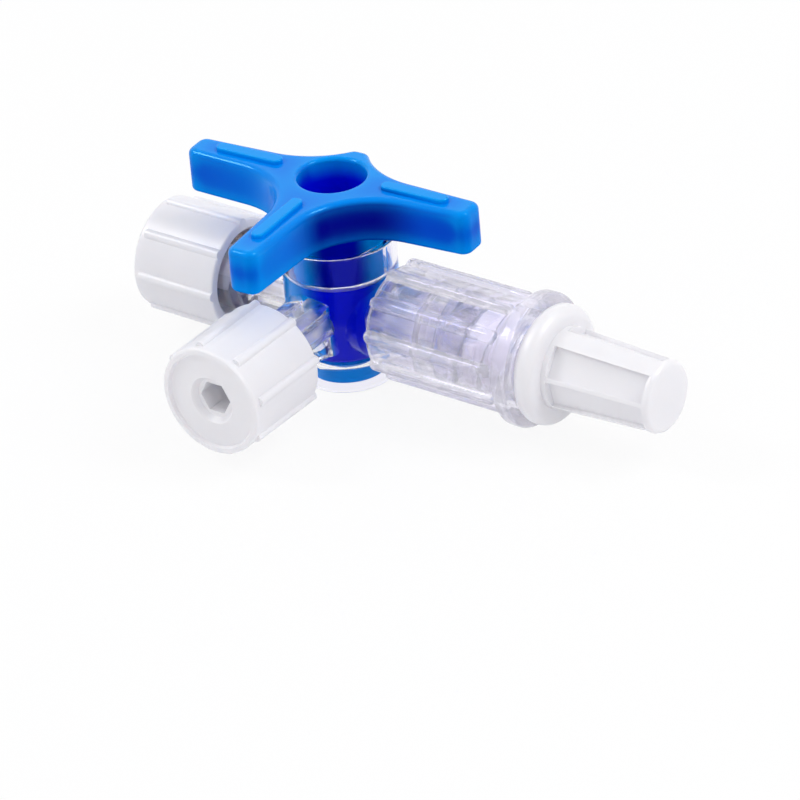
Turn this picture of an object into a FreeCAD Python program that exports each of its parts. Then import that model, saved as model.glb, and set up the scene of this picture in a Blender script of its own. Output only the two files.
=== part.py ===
import FreeCAD, Part
import math
import os

# A three-way stopcock: a clear barrel with two female luer ports and one male luer port, a blue
# T handle moulded with its tapered plug, a clear spinning lock collar on the male port, and a
# white cap on each port.
# Millimetres. +Z is up along the barrel, the origin is the centre of the foot's underside, +X is
# the male port, -Y the front female port and -X the rear female port.

# Heights below are measured from the port axis, distances along a port from the barrel's axis.
port_height = 6.85

# Running and seating gaps between the pieces
plug_clearance = 0.03
luer_clearance = 0.03
collar_clearance = 0.10
cap_end_clearance = 0.25
neck_clearance = 0.50

# Barrel of the body
barrel_radius = 5.15
barrel_taper_start = 0.6
waist_radius = 3.85
waist_height = -4.15
foot_radius = 4.4
foot_thickness = 2.4
foot_edge = 0.25
waist_blend = 0.5
shoulder_blend = 2.0
cup_rim_radius = 5.30
cup_rim_height = 7.15
cup_inner_radius = 4.50
cup_floor_height = 4.18
rim_edge = 0.2

# Tapered plug and its bore
plug_top_radius = 3.87
plug_top_height = 3.43
plug_taper = 0.079
plug_foot_radius = 3.50
plug_foot_lead = 0.30
plug_foot_recess = 0.60
snap_height = -4.45
snap_play = 0.08
snap_lead = 0.25
passage_radius = 1.25

# T handle
handle_bottom = 8.65
handle_top = 12.8
handle_turn_deg = 3.8
side_arm_reach = 14.55
front_arm_reach = 15.0
arm_root_half_width = 2.05
arm_tip_half_width = 1.45
arm_corner = 6.8
tip_corner = 0.95
back_sweep_at = 3.4
back_sweep_radius = 8.4
back_nub_half_width = 0.7
back_nub_reach = 4.9
back_nub_corner = 0.8
handle_top_edge = 0.60
handle_bottom_edge = 0.40
arm_bar_start = 5.2
arm_bar_setback = 2.6
arm_bar_half_width = 0.60
arm_bar_corner = 0.58
arm_bar_height = 0.40
arm_bar_edge = 0.15
hub_hole_radius = 3.05
hub_hole_edge = 0.35
hub_hole_floor = 5.3
hub_hole_corner = 0.4

# Female luer ports
female_angles_deg = {"front": -90.0, "rear": 180.0}
female_reach = 17.2
neck_radius = 3.0
neck_end = 9.7
neck_step = 0.5
neck_step_edge = 0.3
neck_flat_half_width = 2.1
neck_flat_end = 9.2
socket_wall_radius = 3.35
luer_mouth_radius = 2.15
luer_slope = 0.03
luer_mouth_flare = 0.12
luer_mouth_edge = 0.15
luer_depth = 7.5
bore_radius = 1.2
bore_lead = 0.4
lug_radius = 3.90
lug_width = 3.6
lug_length = 0.9
lug_setback = 0.2
female_root_radius = 3.4
female_root_end = 5.9

# Flared roots of the ports in the barrel's wall
root_flare_start = 4.3
root_flare_blend = 2.0

# Male luer port
male_reach = 23.4
male_tip_radius = 1.97
male_tip_edge = 0.25
male_root_radius = 4.0
male_root_end = 6.7
stem_radius = 2.9
bead_radius = 2.65
bead_start = 13.0
bead_length = 1.1
bead_edge = 0.15
stem_groove_radius = 2.20
stem_groove_start = 10.4

# Lock collar
collar_start = 5.9
collar_end = 21.5
collar_radius = 4.85
collar_rib_radius = 5.50
collar_rib_count = 10
collar_rib_first_deg = 44.0
collar_rib_half_width = 0.62
collar_rib_start = 6.5
collar_rib_end = 18.9
collar_lip_radius = 6.1
collar_lip_start = 19.3
collar_lip_length = 1.0
collar_lip_edge = 0.35
collar_lip_blend = 1.0
collar_web_start = 10.6
collar_web_end = 12.7
collar_web_corner = 0.3
collar_thread_radius = 4.05
collar_thread_lead = 0.3
collar_rear_radius = 4.05
collar_edge = 0.2

# Caps of the two female ports
cap_length = 8.9
cap_end_wall = 2.15
cap_open_radius = 5.15
cap_closed_radius = 5.10
cap_edge = 0.2
cap_socket_radius = 4.08
cap_socket_lead = 0.3
cap_plug_length = 6.1
cap_plug_edge = 0.2
cap_rib_count = 8
cap_rib_first_deg = {"front": 12.0, "rear": 1.0}
cap_rib_radius = 0.45
cap_rib_height = 0.33
cap_rib_setback = 0.70
cap_disc_radius = 4.40
cap_disc_depth = 0.30
cap_end_edge = 0.25
recess_mouth_radius = 2.10
recess_mouth_depth = 0.55
recess_mouth_edge = 0.15
recess_mouth_taper = 0.25
hex_corner_radius = 1.60
hex_depth = 3.4

# Cap of the male port
hub_length = 5.9
hub_wall_radius = 3.40
hub_edge = 0.15
stopper_lug_radius = 3.85
stopper_lug_length = 1.0
flange_gap = 0.25
flange_radius = 5.42
flange_thickness = 2.05
flange_edge = 0.95
grip_root_radius = 3.75
grip_end_radius = 3.27
grip_end = 34.6
grip_end_disc = 0.65
grip_end_edge = 0.5
grip_root_length = 0.5
broad_rib_at_deg = 76.0
broad_rib_deg = 32.0
grip_recesses_per_side = 3
grip_recess_deg = 45.0
grip_recess_depth = 0.42

# Sizes worked out from the driving ones
foot_bottom = -port_height
plug_bottom = foot_bottom + plug_foot_recess
bore_top_radius = plug_top_radius + plug_clearance
snap_top = snap_height + snap_lead
neck_of_plug_radius = cup_inner_radius - neck_clearance
cap_floor = female_reach + cap_end_clearance
cap_end = cap_floor + cap_end_wall
cap_start = cap_end - cap_length
cap_disc = cap_end - cap_disc_depth
flange_start = collar_end + flange_gap
flange_end = flange_start + flange_thickness
stopper_mouth = flange_start - hub_length
narrow_rib_deg = (180 - broad_rib_deg - grip_recesses_per_side * grip_recess_deg) / (
    grip_recesses_per_side - 1)


def arc_corner(before, corner, after, radius):
    """The two tangent points and the middle of the arc that rounds one corner of an outline."""
    to_before = (before - corner).normalize()
    to_after = (after - corner).normalize()
    half_angle = to_before.getAngle(to_after) / 2
    reach = radius / math.tan(half_angle)
    inward = (to_before + to_after).normalize()
    middle = corner + inward * (radius / math.sin(half_angle) - radius)
    return corner + to_before * reach, middle, corner + to_after * reach


def outline(corners):
    """A closed wire through (u, v, radius) corners in the XZ plane, each rounded by its radius."""
    points = [Part.Vertex(u, 0, v).Point for u, v, radius in corners]
    count = len(points)
    spans = []
    for i, (u, v, radius) in enumerate(corners):
        if radius:
            spans.append(arc_corner(points[i - 1], points[i], points[(i + 1) % count], radius))
        else:
            spans.append((points[i], None, points[i]))
    edges = []
    for i, (start, middle, end) in enumerate(spans):
        if middle:
            edges.append(Part.Arc(start, middle, end).toShape())
        following = spans[(i + 1) % count][0]
        if (following - end).Length > 1e-6:
            edges.append(Part.makeLine(end, following))
    return Part.Wire(edges)


def turned_z(corners):
    """A solid of revolution about the barrel's axis from (radius, height, rounding) corners."""
    face = Part.Face(outline(corners))
    return face.revolve(FreeCAD.Vector(0, 0, 0), FreeCAD.Vector(0, 0, 1), 360)


def turned_x(corners):
    """A solid of revolution about the port axis from (distance, radius, rounding) corners."""
    face = Part.Face(outline(corners))
    return face.revolve(FreeCAD.Vector(0, 0, 0), FreeCAD.Vector(1, 0, 0), 360)


def along_x(radius, start, end):
    """A cylinder about the port axis from one distance to another."""
    return Part.makeCylinder(radius, end - start, FreeCAD.Vector(start, 0, 0), FreeCAD.Vector(1, 0, 0))


def block(x0, x1, y0, y1, z0, z1):
    """A box between two corners."""
    return Part.makeBox(x1 - x0, y1 - y0, z1 - z0, FreeCAD.Vector(x0, y0, z0))


def turned(shape, degrees, axis=FreeCAD.Vector(0, 0, 1)):
    """A copy turned about an axis through the crossing of the port axes."""
    copy = shape.copy()
    copy.rotate(FreeCAD.Vector(0, 0, 0), axis, degrees)
    return copy


def seated(shape):
    """One clean solid, lifted from the port axis to its height above the foot."""
    solid = shape.removeSplitter()
    solid.translate(FreeCAD.Vector(0, 0, port_height))
    return solid


def plug_radius_at(height):
    """Radius of the tapered plug at a height above the port axis."""
    return plug_top_radius - plug_taper * (plug_top_height - height)


def male_radius_at(distance):
    """Radius of the male luer cone at a distance from the barrel's axis."""
    return male_tip_radius + luer_slope * (male_reach - distance)


def female_radius_at(distance):
    """Radius of the female luer cone at a distance from the barrel's axis."""
    return luer_mouth_radius - luer_slope * (female_reach - distance)


def lugs(radius, core_radius, start, length):
    """The two screw lugs that stand out on opposite sides of a luer mouth."""
    ring = along_x(radius, start, start + length)
    slab = block(start, start + length, -radius, radius, -lug_width / 2, lug_width / 2)
    return ring.common(slab).cut(along_x(core_radius / 2, start, start + length))


def barrel():
    """The upright barrel with its cup at the top, the waist and the foot ring."""
    return turned_z([
        (0, foot_bottom, 0),
        (foot_radius, foot_bottom, foot_edge),
        (foot_radius, foot_bottom + foot_thickness, foot_edge),
        (waist_radius, waist_height, waist_blend),
        (barrel_radius, barrel_taper_start, shoulder_blend),
        (barrel_radius, cup_floor_height, 0),
        (cup_rim_radius, cup_rim_height, rim_edge),
        (0, cup_rim_height, 0),
    ])


def barrel_bore():
    """The space for the plug: the cup, its lead-in cone, the tapered bore and the snap recess."""
    bore_bottom_radius = plug_radius_at(snap_top) + plug_clearance
    recess_radius = plug_foot_radius + snap_play
    return turned_z([
        (0, foot_bottom - 1, 0),
        (recess_radius, foot_bottom - 1, 0),
        (recess_radius, snap_height, 0),
        (bore_bottom_radius, snap_top, 0),
        (bore_top_radius, plug_top_height, 0),
        (cup_inner_radius, cup_floor_height, 0),
        (cup_inner_radius, cup_rim_height - rim_edge, 0),
        (cup_inner_radius + rim_edge, cup_rim_height, 0),
        (cup_inner_radius + rim_edge, cup_rim_height + 1, 0),
        (0, cup_rim_height + 1, 0),
    ])


def port_root(neck, flare, flare_end):
    """The flared root by which a port's neck grows out of the barrel."""
    return [
        (0, 0, 0),
        (0, neck, 0),
        (root_flare_start - 1, flare, 0),
        (root_flare_start, flare, 0),
        (flare_end, neck, root_flare_blend),
    ]


def female_port():
    """A female luer port along +X: flat-sided neck, socket wall and two lugs."""
    wall = turned_x(port_root(neck_radius, female_root_radius, female_root_end) + [
        (neck_end, neck_radius, neck_step_edge),
        (neck_end + neck_step, socket_wall_radius, neck_step_edge),
        (female_reach, socket_wall_radius, luer_mouth_edge),
        (female_reach, 0, 0),
    ])
    for side in (-1, 1):
        flat = neck_flat_half_width * side
        outside = female_root_radius * 2 * side
        wall = wall.cut(block(0, neck_flat_end, min(flat, outside), max(flat, outside),
                              -female_root_radius, female_root_radius))
    lug_start = female_reach - lug_setback - lug_length
    return wall.fuse(lugs(lug_radius, socket_wall_radius, lug_start, lug_length))


def female_bore():
    """The tapered socket of a female port and the bore behind it, along +X."""
    socket_floor = female_reach - luer_depth
    flare_start = female_reach - luer_mouth_edge
    flare_radius = luer_mouth_radius + luer_mouth_flare
    return turned_x([
        (0, 0, 0),
        (0, bore_radius, 0),
        (socket_floor - bore_lead, bore_radius, 0),
        (socket_floor, female_radius_at(socket_floor), 0),
        (flare_start, female_radius_at(flare_start), 0),
        (female_reach, flare_radius, 0),
        (female_reach + 1, flare_radius, 0),
        (female_reach + 1, 0, 0),
    ])


def male_port():
    """The male luer along +X: shoulder, groove for the collar's web, retaining bead and cone."""
    bead_end = bead_start + bead_length
    return turned_x(port_root(stem_radius, male_root_radius, male_root_end) + [
        (stem_groove_start, stem_radius, 0.2),
        (stem_groove_start, stem_groove_radius, 0),
        (bead_start, stem_groove_radius, 0),
        (bead_start, bead_radius, bead_edge),
        (bead_end, male_radius_at(bead_end), 0),
        (male_reach, male_tip_radius, male_tip_edge),
        (male_reach, 0, 0),
    ])


def stopcock_body():
    """The clear body: barrel and three ports moulded as one piece, with all its bores."""
    body = barrel()
    for angle in female_angles_deg.values():
        body = body.fuse(turned(female_port(), angle))
    body = body.fuse(male_port())
    body = body.cut(barrel_bore())
    for angle in female_angles_deg.values():
        body = body.cut(turned(female_bore(), angle))
    body = body.cut(along_x(bore_radius, 0, male_reach + 1))
    return seated(body)


def level_plate(corners, bottom, top):
    """A plate between two heights from the (x, y, rounding) corners of its outline."""
    face = turned(Part.Face(outline(corners)), -90, FreeCAD.Vector(1, 0, 0))
    face.translate(FreeCAD.Vector(0, 0, bottom))
    return face.extrude(FreeCAD.Vector(0, 0, top - bottom))


def handle_arms():
    """The T of three tapering arms with swept-in corners, and the blunt nub at its back."""
    side, front = side_arm_reach, front_arm_reach
    tip, root = arm_tip_half_width, arm_root_half_width
    back = root + (tip - root) * back_sweep_at / side
    return level_plate([
        (side, tip, tip_corner),
        (back_sweep_at, back, back_sweep_radius),
        (back_nub_half_width, back_nub_reach, back_nub_corner),
        (-back_nub_half_width, back_nub_reach, back_nub_corner),
        (-back_sweep_at, back, back_sweep_radius),
        (-side, tip, tip_corner),
        (-side, -tip, tip_corner),
        (-root, -root, arm_corner),
        (-tip, -front, tip_corner),
        (tip, -front, tip_corner),
        (root, -root, arm_corner),
        (side, -tip, tip_corner),
    ], handle_bottom, handle_top)


def level_edges(shape, height):
    """The edges that lie at one height."""
    return [edge for edge in shape.Edges
            if abs(edge.BoundBox.ZMin - height) < 1e-6 and abs(edge.BoundBox.ZMax - height) < 1e-6]


def arm_bar(reach):
    """The low raised bar along the top of an arm of a given reach, along +X."""
    half, end = arm_bar_half_width, reach - arm_bar_setback
    top = handle_top + arm_bar_height
    bar = level_plate([
        (arm_bar_start, -half, arm_bar_corner),
        (arm_bar_start, half, arm_bar_corner),
        (end, half, arm_bar_corner),
        (end, -half, arm_bar_corner),
    ], handle_top - handle_top_edge, top)
    return bar.makeFillet(arm_bar_edge, level_edges(bar, top))


def handle_block():
    """The T handle with rounded edges and a raised bar on each arm."""
    tee = handle_arms()
    tee = tee.makeFillet(handle_top_edge, level_edges(tee, handle_top))
    tee = tee.makeFillet(handle_bottom_edge, level_edges(tee, handle_bottom))
    for angle, reach in ((0, side_arm_reach), (180, side_arm_reach), (-90, front_arm_reach)):
        tee = tee.fuse(turned(arm_bar(reach), angle))
    return tee


def plug():
    """The neck under the handle, the tapered plug and its snap foot."""
    groove_radius = plug_radius_at(snap_top)
    foot_top = snap_height - snap_play
    return turned_z([
        (0, plug_bottom, 0),
        (plug_foot_radius - plug_foot_lead, plug_bottom, 0),
        (plug_foot_radius, plug_bottom + 2 * plug_foot_lead, 0.2),
        (plug_foot_radius, foot_top, 0),
        (groove_radius, foot_top, 0),
        (groove_radius, snap_top, 0),
        (plug_top_radius, plug_top_height, 0),
        (neck_of_plug_radius, cup_floor_height, 0),
        (neck_of_plug_radius, handle_bottom + handle_bottom_edge, 0),
        (0, handle_bottom + handle_bottom_edge, 0),
    ])


def hub_hole():
    """The deep round hole down the handle's hub, with a rounded mouth."""
    return turned_z([
        (0, hub_hole_floor, 0),
        (hub_hole_radius, hub_hole_floor, hub_hole_corner),
        (hub_hole_radius, handle_top, hub_hole_edge),
        (hub_hole_radius + 1, handle_top, 0),
        (hub_hole_radius + 1, handle_top + 1, 0),
        (0, handle_top + 1, 0),
    ])


def handle_plug():
    """The blue handle and plug, one moulding, with the T passage through the plug."""
    tap = handle_block().fuse(plug()).cut(hub_hole())
    tap = tap.cut(along_x(passage_radius, -plug_top_radius, plug_top_radius))
    tap = tap.cut(turned(along_x(passage_radius, 0, plug_top_radius), female_angles_deg["front"]))
    return seated(turned(tap, handle_turn_deg))


def collar_rib():
    """One rounded lengthwise rib of the lock collar, standing on its side along +Z."""
    depth = collar_rib_radius - collar_radius
    rib = Part.makeCylinder(
        collar_rib_half_width,
        collar_rib_end - collar_rib_start,
        FreeCAD.Vector(collar_rib_start, 0, collar_rib_radius - collar_rib_half_width),
        FreeCAD.Vector(1, 0, 0),
    )
    root = block(collar_rib_start, collar_rib_end, -collar_rib_half_width, collar_rib_half_width,
                 collar_radius - depth, collar_rib_radius - collar_rib_half_width)
    nose = Part.makeSphere(
        collar_rib_half_width,
        FreeCAD.Vector(collar_rib_start, 0, collar_rib_radius - collar_rib_half_width),
    )
    return rib.fuse(root).fuse(nose)


def lock_collar():
    """The clear collar that spins on the stem: ribbed sleeve, flared lip and inner web."""
    web_hole = stem_groove_radius + collar_clearance
    lip_end = collar_lip_start + collar_lip_length
    sleeve = turned_x([
        (collar_start, web_hole, 0),
        (collar_start, collar_radius, collar_edge),
        (collar_lip_start, collar_radius, collar_lip_blend),
        (lip_end, collar_lip_radius, collar_lip_edge),
        (collar_end, collar_lip_radius, collar_lip_edge),
        (collar_end, web_hole, 0),
    ])
    for i in range(collar_rib_count):
        angle = collar_rib_first_deg - 90 + i * 360 / collar_rib_count
        sleeve = sleeve.fuse(turned(collar_rib(), -angle, FreeCAD.Vector(1, 0, 0)))
    rear = turned_x([
        (collar_start - 1, 0, 0),
        (collar_start - 1, collar_rear_radius, 0),
        (collar_web_start, collar_rear_radius, collar_web_corner),
        (collar_web_start, 0, 0),
    ])
    mouth_radius = collar_thread_radius + collar_thread_lead
    thread_space = turned_x([
        (collar_web_end, 0, 0),
        (collar_web_end, collar_thread_radius, collar_web_corner),
        (collar_end - collar_thread_lead, collar_thread_radius, 0),
        (collar_end, mouth_radius, 0),
        (collar_end + 1, mouth_radius, 0),
        (collar_end + 1, 0, 0),
    ])
    return seated(sleeve.cut(rear).cut(thread_space))


def cap_rib():
    """One lengthwise rib of a female port's cap, low at the closed end, standing along +Z."""
    end = cap_end - cap_rib_setback
    low = FreeCAD.Vector(cap_start, 0, cap_open_radius + cap_rib_height - cap_rib_radius)
    high = FreeCAD.Vector(end, 0, cap_closed_radius + cap_rib_height - cap_rib_radius)
    run = high - low
    return Part.makeCylinder(cap_rib_radius, run.Length, low, run)


def hex_socket():
    """The moulding recess in a cap's closed end: a round chamfered mouth and a hexagonal socket."""
    start = cap_disc - hex_depth
    mouth_floor = cap_disc - recess_mouth_depth
    mouth_radius = recess_mouth_radius + recess_mouth_edge
    points = []
    for i in range(7):
        angle = math.radians(60 * i)
        points.append(FreeCAD.Vector(start, hex_corner_radius * math.cos(angle),
                                     hex_corner_radius * math.sin(angle)))
    hexagon = Part.Face(Part.makePolygon(points)).extrude(FreeCAD.Vector(hex_depth, 0, 0))
    mouth = turned_x([
        (mouth_floor, 0, 0),
        (mouth_floor, recess_mouth_radius - recess_mouth_taper, 0),
        (cap_disc - recess_mouth_edge, recess_mouth_radius, 0),
        (cap_disc, mouth_radius, 0),
        (cap_disc + 1, mouth_radius, 0),
        (cap_disc + 1, 0, 0),
    ])
    return hexagon.fuse(mouth)


def female_cap(rib_first_deg):
    """A white cap along +X that closes a female port: ribbed sleeve, inner luer plug, end recess."""
    sleeve = turned_x([
        (cap_start, 0, 0),
        (cap_start, cap_open_radius, cap_edge),
        (cap_end, cap_closed_radius, cap_end_edge),
        (cap_end, cap_disc_radius + cap_disc_depth / 2, 0),
        (cap_disc, cap_disc_radius, 0),
        (cap_disc, 0, 0),
    ])
    for i in range(cap_rib_count):
        angle = rib_first_deg + i * 360 / cap_rib_count
        sleeve = sleeve.fuse(turned(cap_rib(), angle, FreeCAD.Vector(1, 0, 0)))
    sleeve = sleeve.common(along_x(cap_open_radius * 2, cap_start, cap_end))
    tip = cap_floor - cap_plug_length
    mouth_radius = cap_socket_radius + cap_socket_lead
    plug_base_radius = luer_mouth_radius - luer_clearance
    socket = turned_x([
        (cap_start - 1, 0, 0),
        (cap_start - 1, mouth_radius, 0),
        (cap_start, mouth_radius, 0),
        (cap_start + cap_socket_lead, cap_socket_radius, 0),
        (cap_floor, cap_socket_radius, cap_plug_edge),
        (cap_floor, plug_base_radius, 0),
        (tip, female_radius_at(tip) - luer_clearance, cap_plug_edge),
        (tip, 0, 0),
    ])
    return sleeve.cut(socket).cut(hex_socket())


def grip_recess():
    """One flat-floored lengthwise recess of the stopper's grip, standing on its side along +Z."""
    start = flange_end + grip_root_length
    end = grip_end - grip_end_disc
    half_angle = math.radians(grip_recess_deg / 2)
    sections = []
    for distance, radius in ((start, grip_root_radius), (end, grip_end_radius)):
        half = radius * math.sin(half_angle)
        floor = radius * math.cos(half_angle) - grip_recess_depth
        corners = [(-half, floor), (half, floor), (half, radius + 1), (-half, radius + 1)]
        points = [FreeCAD.Vector(distance, y, z) for y, z in corners]
        sections.append(Part.makePolygon(points + points[:1]))
    return Part.makeLoft(sections, True, True)


def grip():
    """The stopper's tapered grip along +X: two broad ribs, recesses and narrow ribs between them."""
    shape = turned_x([
        (flange_end - 0.5, 0, 0),
        (flange_end - 0.5, grip_root_radius, 0),
        (flange_end, grip_root_radius, 0),
        (grip_end, grip_end_radius, grip_end_edge),
        (grip_end, 0, 0),
    ])
    first = broad_rib_at_deg - broad_rib_deg / 2 - grip_recess_deg / 2
    for side in (0, 180):
        for i in range(grip_recesses_per_side):
            angle = first + side - i * (grip_recess_deg + narrow_rib_deg)
            shape = shape.cut(turned(grip_recess(), 90 - angle, FreeCAD.Vector(1, 0, 0)))
    return shape


def male_port_cap():
    """The white stopper of the male port: lugged hub with a luer socket, flange and ribbed grip."""
    floor = male_reach + cap_end_clearance
    hub = turned_x([
        (stopper_mouth, 0, 0),
        (stopper_mouth, hub_wall_radius, hub_edge),
        (flange_start + 0.5, hub_wall_radius, 0),
        (flange_start + 0.5, 0, 0),
    ])
    flange = turned_x([
        (flange_start, 0, 0),
        (flange_start, flange_radius, flange_edge),
        (flange_end, flange_radius, flange_edge),
        (flange_end, 0, 0),
    ])
    stopper = hub.fuse(flange).fuse(lugs(stopper_lug_radius, hub_wall_radius, stopper_mouth,
                                         stopper_lug_length))
    stopper = stopper.fuse(grip())
    socket = turned_x([
        (stopper_mouth - 1, 0, 0),
        (stopper_mouth - 1, male_radius_at(stopper_mouth) + luer_clearance, 0),
        (stopper_mouth, male_radius_at(stopper_mouth) + luer_clearance, 0),
        (floor, male_radius_at(floor) + luer_clearance, hub_edge),
        (floor, 0, 0),
    ])
    return seated(stopper.cut(socket))


def main():
    os.makedirs("parts", exist_ok=True)
    pieces = {
        "stopcock_body": stopcock_body(),
        "handle_plug": handle_plug(),
        "lock_collar": lock_collar(),
        "male_port_cap": male_port_cap(),
    }
    for name, angle in female_angles_deg.items():
        cap = female_cap(cap_rib_first_deg[name])
        pieces[name + "_port_cap"] = seated(turned(cap, angle))
    for name, shape in pieces.items():
        box = shape.BoundBox
        print(f"{name:16} valid {shape.isValid()}  solids {len(shape.Solids)}  volume {shape.Volume:8.2f}"
              f"  X {box.XMin:7.2f} {box.XMax:7.2f}  Y {box.YMin:7.2f} {box.YMax:7.2f}"
              f"  Z {box.ZMin:7.2f} {box.ZMax:7.2f}")
        shape.exportStep(f"parts/{name}.step")


main()
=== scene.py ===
import math

import bmesh
import bpy
from bpy.props import FloatProperty, FloatVectorProperty, IntProperty, PointerProperty, StringProperty
from mathutils import Matrix, Vector


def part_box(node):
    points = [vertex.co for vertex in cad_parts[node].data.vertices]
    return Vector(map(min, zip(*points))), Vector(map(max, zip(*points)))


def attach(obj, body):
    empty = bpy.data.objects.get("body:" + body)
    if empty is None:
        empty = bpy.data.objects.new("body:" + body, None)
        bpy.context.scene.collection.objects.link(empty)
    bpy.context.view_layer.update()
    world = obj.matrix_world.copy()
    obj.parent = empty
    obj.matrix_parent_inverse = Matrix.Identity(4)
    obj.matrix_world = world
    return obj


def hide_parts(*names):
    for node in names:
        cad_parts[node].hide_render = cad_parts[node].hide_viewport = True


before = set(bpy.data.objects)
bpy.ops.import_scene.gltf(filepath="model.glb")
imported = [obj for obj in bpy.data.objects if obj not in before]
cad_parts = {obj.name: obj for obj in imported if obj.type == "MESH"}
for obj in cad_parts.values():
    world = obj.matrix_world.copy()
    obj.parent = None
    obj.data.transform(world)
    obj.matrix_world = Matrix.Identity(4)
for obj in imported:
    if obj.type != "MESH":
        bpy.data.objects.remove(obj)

bl_info = {
    "name": "Three-way stopcock",
    "version": (1, 0, 0),
    "blender": (4, 5, 0),
    "location": "View3D > Sidebar > Stopcock",
    "description": "Finishes a capped three-way luer stopcock: clear body and lock collar, blue T "
                   "handle, white caps, and a plain stage",
    "category": "Object",
}

MM = 0.001

# The port axis crosses the barrel's axis at this height, read from the male port's cap.
CAP_LOW, CAP_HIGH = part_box("male_port_cap")
PORT_HEIGHT = (CAP_LOW.z + CAP_HIGH.z) / 2
COLLAR_LOW, COLLAR_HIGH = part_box("lock_collar")
HANDLE_LOW, HANDLE_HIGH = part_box("handle_plug")
# Level directions from the barrel's axis, halfway between the front and the male port, and to the left of the
# front port. The handle's painted shade and painted light are laid out along them.
FRONT_RIGHT = (0.707, -0.707, 0.0)
FRONT_LEFT = (-0.5, -0.866, 0.0)
WHITE = (1.0, 1.0, 1.0, 1.0)
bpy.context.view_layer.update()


def length(name, description, millimetres, **more):
    """A length property whose default is given in millimetres."""
    return FloatProperty(name=name, description=description, default=millimetres * MM, min=0.0,
                         unit="LENGTH", precision=5, **more)


def linear(hex_colour):
    """An sRGB hex colour such as #3A7BD5 as linear red, green, blue and alpha."""
    shares = [int(hex_colour[i:i + 2], 16) / 255 for i in (1, 3, 5)]
    return [s / 12.92 if s <= 0.04045 else ((s + 0.055) / 1.055) ** 2.4 for s in shares] + [1.0]


def add_node(tree, kind, inputs=None, **settings):
    """Adds a node, sets it up, and fills its inputs with values or links from other sockets."""
    node = tree.nodes.new(kind)
    for name, value in settings.items():
        setattr(node, name, value)
    for key, value in (inputs or {}).items():
        if isinstance(value, bpy.types.NodeSocket):
            tree.links.new(value, node.inputs[key])
        else:
            node.inputs[key].default_value = value
    return node


def new_material(name):
    """An empty material of that name, its node tree and the Object coordinates."""
    material = bpy.data.materials.new(name)
    material.use_nodes = True
    tree = material.node_tree
    tree.nodes.clear()
    place = add_node(tree, "ShaderNodeTexCoord").outputs["Object"]
    return material, tree, place


def paint(obj, material):
    """Gives every slot of an object the same material."""
    if not obj.data.materials:
        obj.data.materials.append(material)
    for slot in obj.material_slots:
        slot.link = "OBJECT"
        slot.material = material


class StopcockClear(bpy.types.PropertyGroup):
    """Looks of the clear mouldings and the film between plug and bore."""
    film: length("Film overlap", "How far the wetted bore laps over the plug, so that no air shows between "
                 "them", 0.05)
    running_gap: length("Running gap", "Play between plug and bore in the solids", 0.03)
    bore_low: length("Bore foot", "Height of the tapered bore's lower end above the foot", 2.65)
    bore_high: length("Bore top", "Height of the tapered bore's upper end above the foot", 10.28)
    bore_reach: length("Bore reach", "No wall of the tapered bore lies further out than this", 3.95)
    cone_reach: length("Cone reach", "Radius of the top of the cone that leads into the tapered bore", 4.4)
    barrel_reach: length("Barrel reach", "Light goes straight through only further out than this", 5.2)
    narrow_reach: length("Narrow reach", "Walls nearer than this to a port's axis are frosted", 1.5)
    matt_start: length("Matt start", "The collar grows matt from this distance of the port axis", 4.95)
    matt_end: length("Matt end", "The collar is matt from this distance of the port axis", 5.3)
    colour: StringProperty(name="Tint", description="Colour that thick clear plastic takes, as sRGB hex",
                           default="#F6F5FF")
    roughness: FloatProperty(name="Roughness", description="Roughness of the polished mould's surface",
                             default=0.015, min=0, max=1, subtype="FACTOR")
    bore_roughness: FloatProperty(name="Bore roughness", description="Roughness of the narrow bores' surface",
                                  default=0.35, min=0, max=1, subtype="FACTOR")
    matt_haze: FloatProperty(name="Matt haze", description="Share of light that matt surfaces scatter",
                             default=0.22, min=0, max=1, subtype="FACTOR")
    straight: FloatProperty(name="Straight light", description="Share of light that passes the necks unbent",
                            default=0.25, min=0, max=1, subtype="FACTOR")
    haze: FloatProperty(name="Haze", description="Share of light that the body's plastic scatters",
                        default=0.0, min=0, max=1, subtype="FACTOR")
    sheen: StringProperty(name="Sheen", description="Colour of the body's reflections seen face on, over the "
                          "blue plug, as sRGB hex", default="#3A48FF")


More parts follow.
